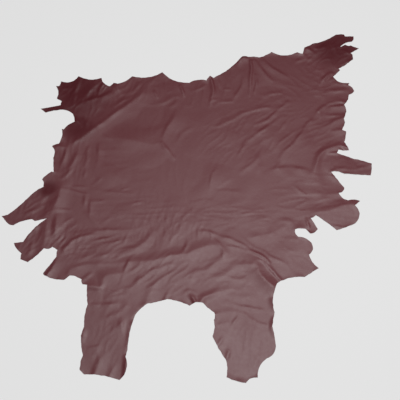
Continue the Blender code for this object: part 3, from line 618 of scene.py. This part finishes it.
WRINKLES = (
    Patch(20, 46, 30, 28, 47, 4.6, 14, 1.3),
    Patch(45, 48, 30, 30, 45, 4.4, 16, 1.5),
    Patch(80, 52, 22, 26, 38, 4.2, 12, 1.6),
    Patch(64, 92, 30, 20, -38, 5.0, 14, 1.2),
    Patch(20, 88, 24, 16, 75, 4.8, 14, 1.4),
    Patch(52, 72, 34, 12, 12, 4.4, 14, 1.2),
    Patch(-12, 82, 34, 16, 95, 5.0, 12, 1.4),
    Patch(-20, 14, 36, 30, 92, 5.0, 14, 0.8),
    Patch(-25, 55, 30, 26, 80, 5.6, 14, 0.7),
    Patch(-18, -18, 34, 18, 80, 3.6, 9, 1.5),
    Patch(20, -10, 46, 14, 6, 3.8, 18, 1.3),
    Patch(-40, -8, 40, 16, 4, 4.0, 18, 0.9),
    Patch(68, 2, 28, 22, 4, 4.0, 16, 1.6),
    Patch(-55, 22, 30, 24, 12, 5.2, 16, 0.8),
    Patch(-84, 30, 18, 24, 85, 3.8, 12, 1.5),
    Patch(-84, -28, 18, 18, 50, 3.4, 9, 1.8),
    Patch(-60, -34, 30, 16, 14, 3.8, 12, 1.8),
    Patch(-20, -50, 34, 18, 38, 4.0, 12, 1.8),
    Patch(24, -52, 30, 18, 16, 4.2, 12, 1.6),
    Patch(56, -34, 24, 22, -30, 4.4, 12, 1.0),
    Patch(-57, -88, 14, 34, 70, 4.0, 10, 1.1),
    Patch(28, -92, 18, 30, 100, 4.6, 10, 1.2),
    Patch(-80, 78, 26, 22, 62, 4.0, 10, 2.0),
    Patch(-50, 86, 24, 14, 60, 4.0, 10, 1.8),
    Patch(92, 112, 26, 24, 40, 3.8, 10, 2.0),
    Patch(88, 86, 20, 14, 5, 4.0, 10, 1.6),
    Patch(98, 27, 20, 14, 8, 4.0, 10, 1.6),
    Patch(86, -8, 22, 16, 6, 4.0, 12, 1.2),
    Patch(-108, -8, 20, 24, 48, 3.8, 10, 2.0),
    Patch(-104, -32, 16, 18, 60, 3.8, 10, 1.8),
)


def patch_height(points, patch, layer):
    """The height, in cm, of one patch of stretched noise, fading out towards its edge."""
    away = (points - (patch.x, patch.y)) / (patch.width, patch.depth)
    fade = np.clip(1 - (away**2).sum(axis=1), 0, 1)
    near = fade > 0
    turn = math.radians(patch.heading)
    run = points[near] @ (math.cos(turn), math.sin(turn)) / patch.long
    beside = points[near] @ (-math.sin(turn), math.cos(turn)) / patch.apart
    waves = np.array([noise.noise((a, b, layer)) for a, b in zip(run, beside)])
    height = np.zeros(len(points))
    crease = np.clip(1 - abs(waves) / CREASE_SHARE, 0, 1)**2
    height[near] = crease * fade[near] * patch.height / MM_PER_CM
    return height


print(len(WRINKLES), "patches of wrinkles, up to", max(patch.height for patch in WRINKLES), "mm")

# %% [markdown]
# The slack bubbles are noise with its lower half cut off, so that between them the sheet still
# lies flat on the floor. Along the rim the leather dried a little stiffer and lifts here and
# there. That lift is noise too, and dies out a few centimetres from the edge.

# %% Slackness and lifted edges
NOISE_TOP = 0.5
SLACK_SIZE = 17.0
SLACK_HEIGHT = 3.2
SLACK_SPREAD = 0.05
SLACK_LAYER = 3.7
RIM_LIFT = 4.5
RIM_BAND = 3.6
LIFT_LENGTH = 7.0
LIFT_LAYER = 9.1
BLOCK = 2000


def slack(points):
    """Low bubbles over the whole sheet, in cm."""
    waves = smooth_noise(points, SLACK_SIZE, SLACK_LAYER)
    return np.clip(waves + SLACK_SPREAD, 0, None) / NOISE_TOP * SLACK_HEIGHT / MM_PER_CM


def rim_distance(points):
    """How far each point is from the nearest point of the rim, in cm, one block at a time."""
    return np.concatenate([
        np.hypot(*(block[:, None] - rim[None]).transpose(2, 0, 1)).min(axis=1)
        for block in np.array_split(points, max(1, len(points) // BLOCK))])


def rim_lift(points, distance):
    """How far the leather near the edge has lifted, in cm."""
    waves = smooth_noise(points, LIFT_LENGTH, LIFT_LAYER)
    near = np.clip(1 - distance / RIM_BAND, 0, 1)
    return np.clip(waves, 0, None) / NOISE_TOP * near**2 * RIM_LIFT / MM_PER_CM


print("lift here and there along the rim:",
      (rim_lift(rim[::len(rim) // 5], 0) * MM_PER_CM).round(1).tolist(), "mm")

# %% [markdown]
# Rows of a table give creases that are too perfect. So every point is measured from a place up
# to a few millimetres beside its own, which bends the creases a little, and the small folds are
# higher here and lower there. Both are smooth noise.

# %% Add it all up, unevenly
SWAY = 0.4
SWAY_LENGTH = 5.5
SWAY_LAYERS = (5.3, 6.7)
UNEVEN = 0.8
UNEVEN_LENGTH = 6.5
UNEVEN_LAYER = 8.8
LEADING, ADDED = 3, 1


def swayed(points, way):
    """The points, pushed sideways by smooth noise (way 1) or pulled back again (way -1)."""
    push = np.column_stack([smooth_noise(points, SWAY_LENGTH, layer) for layer in SWAY_LAYERS])
    return points + way * SWAY * push


def sheet_height(points, distance):
    """The height of the sheet's underside over the floor, in cm."""
    uneven = 1 + UNEVEN * smooth_noise(points, UNEVEN_LENGTH, UNEVEN_LAYER)
    places = swayed(points, 1)
    wrinkles = sum(patch_height(places, patch, layer) for layer, patch in enumerate(WRINKLES))
    folds = merged(places, MAIN_FOLDS, LEADING) + merged(places, SMALL_FOLDS, ADDED) * uneven
    return folds + wrinkles + slack(points) + rim_lift(points, distance)


moved = np.hypot(*(swayed(rim, 1) - rim).T)
print("points are measured up to", round(moved.max() * MM_PER_CM, 1), "mm beside their place")

# %% [markdown]
# ## The sheet
#
# The mesh is a triangular grid inside the outline, joined by a constrained Delaunay
# triangulation, which keeps the rim exactly as it was cut. Where the relief bends sharply, the
# grid is twice as fine as where the sheet lies smooth. To find out which is which, the relief is
# first measured at every point of the fine grid.

# %% Lay out the points of the mesh
FINE_STEP = 0.8
ROW_RISE = 0.866
RIM_CLEARANCE = 0.45


def inside(points, loop):
    """Which points lie within the closed loop, by the even and odd rule."""
    found = np.zeros(len(points), bool)
    for a, b in zip(loop, np.roll(loop, -1, axis=0)):
        crosses = (a[1] > points[:, 1]) != (b[1] > points[:, 1])
        rise = b[1] - a[1] if b[1] != a[1] else 1.0
        found ^= crosses & (points[:, 0] < a[0] + (points[:, 1] - a[1]) / rise * (b[0] - a[0]))
    return found


def grid_points():
    """The fine triangular grid over the rim's box, and which of its points the coarse one has."""
    low, high = rim.min(axis=0), rim.max(axis=0)
    rows = np.arange(int((high[1] - low[1]) / (FINE_STEP * ROW_RISE)) + 1)
    columns = np.arange(int((high[0] - low[0]) / FINE_STEP) + 1)
    row, column = (a.ravel() for a in np.meshgrid(rows, columns, indexing="ij"))
    x = low[0] + FINE_STEP * (column + row % 2 / 2)
    y = low[1] + FINE_STEP * ROW_RISE * row
    coarse = (row % 2 == 0) & (column % 2 == (row // 2) % 2)
    return np.column_stack((x, y)), coarse


grid, coarse = grid_points()
within = inside(grid, rim)
grid, coarse = grid[within], coarse[within]
clearance = rim_distance(grid)
height = sheet_height(grid, clearance)
print(len(grid), "grid points lie inside the outline; the highest underside is",
      round(height.max() * MM_PER_CM, 1), "mm")

# %% [markdown]
# Sharp bends are found without any neighbour search: the same relief is measured again one step
# to each side, and the differences say how much it bends there. The fine points stay where it
# bends and close to the rim.

# %% Keep fine points where the sheet bends
SHARP_BEND = 0.026
RIM_FINE = 1.5


def bend(points, distance, centre):
    """How sharply the relief bends at each point, in cm of height over one fine step."""
    total = np.zeros(len(points))
    for step in ((FINE_STEP, 0), (0, FINE_STEP)):
        ahead = sheet_height(points + step, distance)
        behind = sheet_height(points - step, distance)
        total += abs(ahead + behind - 2 * centre)
    return total


bends = bend(grid, clearance, height)
keep = (clearance > RIM_CLEARANCE) & (coarse | (bends > SHARP_BEND) | (clearance < RIM_FINE))
print(int(keep.sum()), "of them are kept;", int((bends > SHARP_BEND).sum()), "lie on bends")

# %% [markdown]
# A grid cuts a crest into a zigzag. So the crests get points of their own, one after another,
# and grid points that stand too near to one of those step aside.

# %% Set points along the crests
CREST_STEP = 0.7
POINT_ROOM = 0.42


def spaced(points, room):
    """The points, without those that stand nearer than that to one that was kept before."""
    tree = kdtree.KDTree(len(points))
    for number, (x, y) in enumerate(points):
        tree.insert((x, y, 0), number)
    tree.balance()
    kept = np.ones(len(points), bool)
    for number, (x, y) in enumerate(points):
        if kept[number]:
            for _, other, _ in tree.find_range((x, y, 0), room):
                kept[other] &= other <= number
    return points[kept]


all_folds = [Fold(*row) for table in (MAIN_FOLDS, SMALL_FOLDS)
             for rows in table.values() for row in rows]
crests = np.vstack([smooth_path(fold.crest, CREST_STEP) for fold in all_folds])
crests = swayed(crests, -1)
crests = crests[inside(crests, rim)]
crests = spaced(crests[rim_distance(crests) > RIM_CLEARANCE], POINT_ROOM)
inner = spaced(np.vstack((crests, grid[keep])), POINT_ROOM)
flat = np.vstack((rim, inner))
print(len(crests), "points stand on crests, and", len(inner) - len(crests), "on the grid")

# %% Join them and raise the folds
INSIDE_ONLY = 1
SAME_POINT = 1e-5

under = sheet_height(flat, rim_distance(flat))
flat_2d, _, faces, sources, _, _ = delaunay_2d_cdt(
    [Vector(point) for point in flat], [], [list(range(len(rim)))[::-1]], INSIDE_ONLY, SAME_POINT)
under = np.array([under[ids[0]] if ids else 0.0 for ids in sources])
flat = np.array(flat_2d)
middle = (rim.min(axis=0) + rim.max(axis=0)) / 2
points = np.column_stack((flat - middle, under)) * CM
print(len(points), "points and", len(faces), "triangles in the underside")

# %% [markdown]
# The leather is 1.4 mm thick. Solidify gives the sheet that body on its upper side and closes
# it round the rim. It also hands each of the three kinds of face its own material: the flesh
# side below, the grain side on top, and the cut edge between them.

# %% Give the sheet its thickness
THICKNESS = 1.4 * MM
SHARP_ANGLE = math.radians(55)

mesh = bpy.data.meshes.new("hide_sheet")
mesh.from_pydata(points.tolist(), [], faces)
sheet = bpy.data.objects.new("hide_sheet", mesh)
bpy.context.scene.collection.objects.link(sheet)
solid = sheet.modifiers.new("thickness", "SOLIDIFY")
solid.thickness = THICKNESS
solid.offset = 1
solid.material_offset = 1
solid.material_offset_rim = 2
for name in ("grain side", "flesh side", "cut edge"):
    mesh.materials.append(bpy.data.materials.new(name))
graph = bpy.context.evaluated_depsgraph_get()
body = bpy.data.meshes.new_from_object(sheet.evaluated_get(graph))
sheet.modifiers.clear()
sheet.data = body
body.name = "hide_sheet"
body.shade_smooth()
body.set_sharp_from_angle(angle=SHARP_ANGLE)
body.calc_loop_triangles()
print("the closed sheet has", len(body.loop_triangles), "triangles")
grain_side, flesh_side, cut_edge = body.materials

# %% [markdown]
# ## The leather
#
# Chrome-tanned leather takes a dye right through, so the colour is deep and a little cloudy. The
# finish on the grain side is thin: it gives a broad, soft, white sheen and no mirror. The grain
# itself is a net of tiny pebbles, one or two millimetres across. Three small helpers keep the
# node code short: one makes a node, one starts a node group with named sockets, and one places
# such a group in a material.

# %% Helpers for shader nodes
def node(tree, kind, **settings):
    """A new node of that kind, with its settings and the named inputs filled in."""
    made = tree.nodes.new(kind)
    for name, value in settings.items():
        if hasattr(made, name):
            setattr(made, name, value)
        else:
            made.inputs[name.replace("_", " ")].default_value = value
    return made


def group(name, inputs, outputs):
    """An empty node group with named sockets, and its two end nodes."""
    tree = bpy.data.node_groups.new(name, "ShaderNodeTree")
    for title, kind, value in inputs:
        socket = tree.interface.new_socket(title, in_out="INPUT", socket_type=kind)
        socket.default_value = value
    for title, kind in outputs:
        tree.interface.new_socket(title, in_out="OUTPUT", socket_type=kind)
    return tree, tree.nodes.new("NodeGroupInput"), tree.nodes.new("NodeGroupOutput")


def placed(tree, made_group, **values):
    """The group, placed in a material with its own values."""
    held = tree.nodes.new("ShaderNodeGroup")
    held.node_tree = made_group
    for name, value in values.items():
        held.inputs[name.replace("_", " ")].default_value = value
    return held


# %% [markdown]
# ### Cloudy dye
#
# Dye never takes evenly. Two layers of soft noise, one a forearm wide and one a finger wide,
# shift the colour a little from the full dye to a more worn one. Every side of the leather uses
# this.

# %% The cloudy dye group
FLOAT, COLOUR = "NodeSocketFloat", "NodeSocketColor"

cloudy, given, result = group(
    "cloudy dye",
    (("Dye", COLOUR, (0.1, 0.02, 0.03, 1)), ("Worn", COLOUR, (0.2, 0.08, 0.08, 1))),
    (("Colour", COLOUR), ("Clouds", FLOAT)))
place = node(cloudy, "ShaderNodeTexCoord")
wide = node(cloudy, "ShaderNodeTexNoise", Scale=3.1, Detail=4, Roughness=0.6)
fine = node(cloudy, "ShaderNodeTexNoise", Scale=38, Detail=5, Roughness=0.65)
both = node(cloudy, "ShaderNodeMath", operation="ADD")
spread = node(cloudy, "ShaderNodeMapRange", From_Min=0.7, From_Max=1.3)
mix = node(cloudy, "ShaderNodeMix", data_type="RGBA")
link = cloudy.links.new
link(place.outputs["Object"], wide.inputs["Vector"])
link(place.outputs["Object"], fine.inputs["Vector"])
link(wide.outputs["Fac"], both.inputs[0])
link(fine.outputs["Fac"], both.inputs[1])
link(both.outputs[0], spread.inputs["Value"])
link(spread.outputs["Result"], mix.inputs["Factor"])
link(given.outputs["Dye"], mix.inputs["A"])
link(given.outputs["Worn"], mix.inputs["B"])
link(mix.outputs["Result"], result.inputs["Colour"])
link(spread.outputs["Result"], result.inputs["Clouds"])
print("cloudy dye:", len(cloudy.nodes), "nodes")

# %% [markdown]
# ### Pebbled grain
#
# The grain is a cell pattern: each pebble is a cell, and the furrows between are the cell
# edges. A finer noise adds the pores, and a coarser one adds faint puckers about two centimetres
# wide, which are too low to be worth a row of their own in the tables of folds.

# %% The pebbled grain group
FURROW_SHARE = 0.35
PORE_HEIGHT = 0.25
PUCKER_HEIGHT = 14.0

grain, given, result = group(
    "pebbled grain", (("Pebbles per metre", FLOAT, 620.0),), (("Height", FLOAT),))
place = node(grain, "ShaderNodeTexCoord")
cells = node(grain, "ShaderNodeTexVoronoi", feature="DISTANCE_TO_EDGE")
pores = node(grain, "ShaderNodeTexNoise", Scale=1500, Detail=2)
puckers = node(grain, "ShaderNodeTexNoise", Scale=48, Detail=4, Roughness=0.6)
round_off = node(grain, "ShaderNodeMapRange", From_Min=0.0, From_Max=FURROW_SHARE)
add_pores = node(grain, "ShaderNodeMath", operation="MULTIPLY_ADD")
add_pores.inputs[1].default_value = PORE_HEIGHT
add_puckers = node(grain, "ShaderNodeMath", operation="MULTIPLY_ADD")
add_puckers.inputs[1].default_value = PUCKER_HEIGHT
link = grain.links.new
for texture in (cells, pores, puckers):
    link(place.outputs["Object"], texture.inputs["Vector"])
link(given.outputs["Pebbles per metre"], cells.inputs["Scale"])
link(cells.outputs["Distance"], round_off.inputs["Value"])
link(pores.outputs["Fac"], add_pores.inputs[0])
link(round_off.outputs["Result"], add_pores.inputs[2])
link(puckers.outputs["Fac"], add_puckers.inputs[0])
link(add_pores.outputs[0], add_puckers.inputs[2])
link(add_puckers.outputs[0], result.inputs["Height"])
print("pebbled grain:", len(grain.nodes), "nodes")

# %% [markdown]
# ### Smoothed flaps, with painted shade
#
# The fore legs, the left shoulder and one flap of the left flank were the handles of the hide,
# so hands have rubbed their finish smoother. A smoother finish mirrors the lamp in a tighter
# spot and looks darker elsewhere. These places also get painted shade: their colour is
# multiplied by a grey, as if less light reached them. The group changes a roughness and a
# colour inside a few soft balls, each full in its middle and faded out at its reach.

# %% The smoothed flaps and painted shade group
Flap = namedtuple("Flap", "x y reach")
# Soft balls where the finish is smoother and painted shade darkens the colour.
SMOOTHED_SHADED_FLAPS = (Flap(-92, 84, 42), Flap(-84, 56, 17), Flap(97, 122, 26), Flap(-100, 8, 9))
FULL_SHARE = 0.25

smoothing_and_shade, given, result = group(
    "smoothed flaps with painted shade",
    (("Colour", COLOUR, (0.1, 0.02, 0.03, 1)), ("Painted shade", COLOUR, (0.76, 0.76, 0.76, 1)),
     ("Roughness", FLOAT, 0.6), ("Rubbed roughness", FLOAT, 0.4)),
    (("Colour", COLOUR), ("Roughness", FLOAT)))
place = node(smoothing_and_shade, "ShaderNodeTexCoord")
link = smoothing_and_shade.links.new
share = None
for flap in SMOOTHED_SHADED_FLAPS:
    away = node(smoothing_and_shade, "ShaderNodeVectorMath", operation="DISTANCE")
    away.inputs[1].default_value = ((flap.x - middle[0]) * CM, (flap.y - middle[1]) * CM, 0)
    soft = node(smoothing_and_shade, "ShaderNodeMapRange", interpolation_type="SMOOTHSTEP",
                From_Min=flap.reach * CM, From_Max=FULL_SHARE * flap.reach * CM)
    link(place.outputs["Object"], away.inputs[0])
    link(away.outputs["Value"], soft.inputs["Value"])
    if share is None:
        share = soft.outputs["Result"]
        continue
    higher = node(smoothing_and_shade, "ShaderNodeMath", operation="MAXIMUM")
    link(share, higher.inputs[0])
    link(soft.outputs["Result"], higher.inputs[1])
    share = higher.outputs[0]
smooth = node(smoothing_and_shade, "ShaderNodeMix")
# Painted shade: inside the balls the colour is multiplied by the grey, which darkens it as less
# light would.
painted_shade_mix = node(smoothing_and_shade, "ShaderNodeMix", data_type="RGBA", blend_type="MULTIPLY")
for mix, before, change, after in ((smooth, "Roughness", "Rubbed roughness", "Roughness"),
                                   (painted_shade_mix, "Colour", "Painted shade", "Colour")):
    link(share, mix.inputs["Factor"])
    link(given.outputs[before], mix.inputs["A"])
    link(given.outputs[change], mix.inputs["B"])
    link(mix.outputs["Result"], result.inputs[after])
print("smoothed flaps with painted shade:", len(SMOOTHED_SHADED_FLAPS), "soft balls")

# %% [markdown]
# ### The three finishes
#
# The grain side is dyed and finished: fairly rough, with the broad sheen of a thin wax. The
# flesh side is a nap of fibres, matt and darker. The cut edge is the raw middle of the skin,
# dark too. Both dark colours are partly painted shade, for the gaps under lifted edges. All
# three share the three groups above with values of their own.

# %% Make the three finishes
GRAIN_HEIGHT = 0.06 * MM


def finish(material, dye, worn, pebbles, roughness, rubbed, bump):
    """Dyed leather: a colour from the cloudy dye, and relief from the pebbled grain."""
    material.use_nodes = True
    tree = material.node_tree
    shader = tree.nodes["Principled BSDF"]
    colour = placed(tree, cloudy, Dye=(*dye, 1), Worn=(*worn, 1))
    relief = placed(tree, grain, Pebbles_per_metre=pebbles)
    rub = node(tree, "ShaderNodeMapRange", To_Min=roughness[0], To_Max=roughness[1])
    smoothed_and_shaded = placed(tree, smoothing_and_shade, Rubbed_roughness=rubbed)
    raised = node(tree, "ShaderNodeBump", Strength=bump, Distance=GRAIN_HEIGHT)
    link = tree.links.new
    # The dye passes through the painted shade of the flaps, and the roughness through their
    # smoothing.
    link(colour.outputs["Colour"], smoothed_and_shaded.inputs["Colour"])
    link(smoothed_and_shaded.outputs["Colour"], shader.inputs["Base Color"])
    link(colour.outputs["Clouds"], rub.inputs["Value"])
    link(rub.outputs["Result"], smoothed_and_shaded.inputs["Roughness"])
    link(smoothed_and_shaded.outputs["Roughness"], shader.inputs["Roughness"])
    link(relief.outputs["Height"], raised.inputs["Height"])
    link(raised.outputs["Normal"], shader.inputs["Normal"])
    material.diffuse_color = (*dye, 1)
    return shader


leather = finish(grain_side, dye=(0.089, 0.0123, 0.0166), worn=(0.094, 0.016, 0.0205),
                 pebbles=620.0, roughness=(0.57, 0.63), rubbed=0.36, bump=0.6)
leather.inputs["Specular IOR Level"].default_value = 0.75
# The flesh side's dark dye is partly painted shade, for the gaps seen under lifted edges.
suede = finish(flesh_side, dye=(0.03, 0.010, 0.012), worn=(0.045, 0.018, 0.02),
               pebbles=900.0, roughness=(0.85, 0.95), rubbed=0.8, bump=0.8)
suede.inputs["Sheen Weight"].default_value = 0.15
# The cut edge's dark dye is partly painted shade as well.
finish(cut_edge, dye=(0.035, 0.012, 0.014), worn=(0.06, 0.025, 0.027),
       pebbles=900.0, roughness=(0.75, 0.9), rubbed=0.7, bump=0.8)
print("finishes:", [material.name for material in body.materials])

# %% [markdown]
# ## Floor and light
#
# The hide lies on a plain pale studio floor. One big soft lamp hangs overhead, a little towards
# the right: its reflection is what draws the pale sheen over the rump and the right hind leg,
# and leaves the left shoulder dark. The floor shines by itself as well, so that it stays an
# even pale grey under that one lamp.

# %% Lay the floor
FLOOR_SIZE = 16.0
FLOOR_GREY = 0.08
FLOOR_GLOW = 0.68
FLOOR_DROP = 0.2 * MM

floor_mesh = bpy.data.meshes.new("floor")
half = FLOOR_SIZE / 2
floor_mesh.from_pydata(
    [(-half, -half, 0), (half, -half, 0), (half, half, 0), (-half, half, 0)], [], [(0, 1, 2, 3)])
floor = bpy.data.objects.new("floor", floor_mesh)
floor.location.z = -FLOOR_DROP
bpy.context.scene.collection.objects.link(floor)
paint = bpy.data.materials.new("pale floor")
paint.use_nodes = True
shader = paint.node_tree.nodes["Principled BSDF"]
shader.inputs["Base Color"].default_value = (FLOOR_GREY, FLOOR_GREY, FLOOR_GREY, 1)
shader.inputs["Roughness"].default_value = 1.0
shader.inputs["Specular IOR Level"].default_value = 0.0
shader.inputs["Emission Color"].default_value = (1, 1, 1, 1)
shader.inputs["Emission Strength"].default_value = FLOOR_GLOW
floor_mesh.materials.append(paint)
floor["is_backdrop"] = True
print("floor:", FLOOR_SIZE, "m square, with", FLOOR_GLOW, "of glow")

# %% Hang the lamp and light the room
LAMP_PLACE = Vector((0.9, -0.35, 5.0))
LAMP_AIM = Vector((0.1, 0.0, 0.0))
LAMP_SIZE = 1.6
LAMP_WATTS = 300.0
ROOM_GREY = 0.02

lamp = bpy.data.objects.new("soft lamp", bpy.data.lights.new("soft lamp", "AREA"))
lamp.data.shape = "DISK"
lamp.data.size = LAMP_SIZE
lamp.data.energy = LAMP_WATTS
lamp.location = LAMP_PLACE
lamp.rotation_euler = (LAMP_AIM - LAMP_PLACE).to_track_quat("-Z", "Y").to_euler()
bpy.context.scene.collection.objects.link(lamp)
room = bpy.data.worlds.new("room")
room.use_nodes = True
room.node_tree.nodes["Background"].inputs["Color"].default_value = (
    ROOM_GREY, ROOM_GREY, ROOM_GREY, 1)
bpy.context.scene.world = room
bpy.context.scene.view_settings.view_transform = "Standard"
print("lamp:", LAMP_WATTS, "W from", [round(x, 2) for x in lamp.location])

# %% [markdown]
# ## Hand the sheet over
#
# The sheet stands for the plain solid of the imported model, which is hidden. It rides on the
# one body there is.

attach(sheet, "root")
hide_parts("hide")

# %% Show both boxes and finish
own_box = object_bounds()
for title, (low, high) in (("cad", cad_box), ("scene", own_box)):
    print(title, "box:", [round(x, 4) for x in low], [round(x, 4) for x in high])
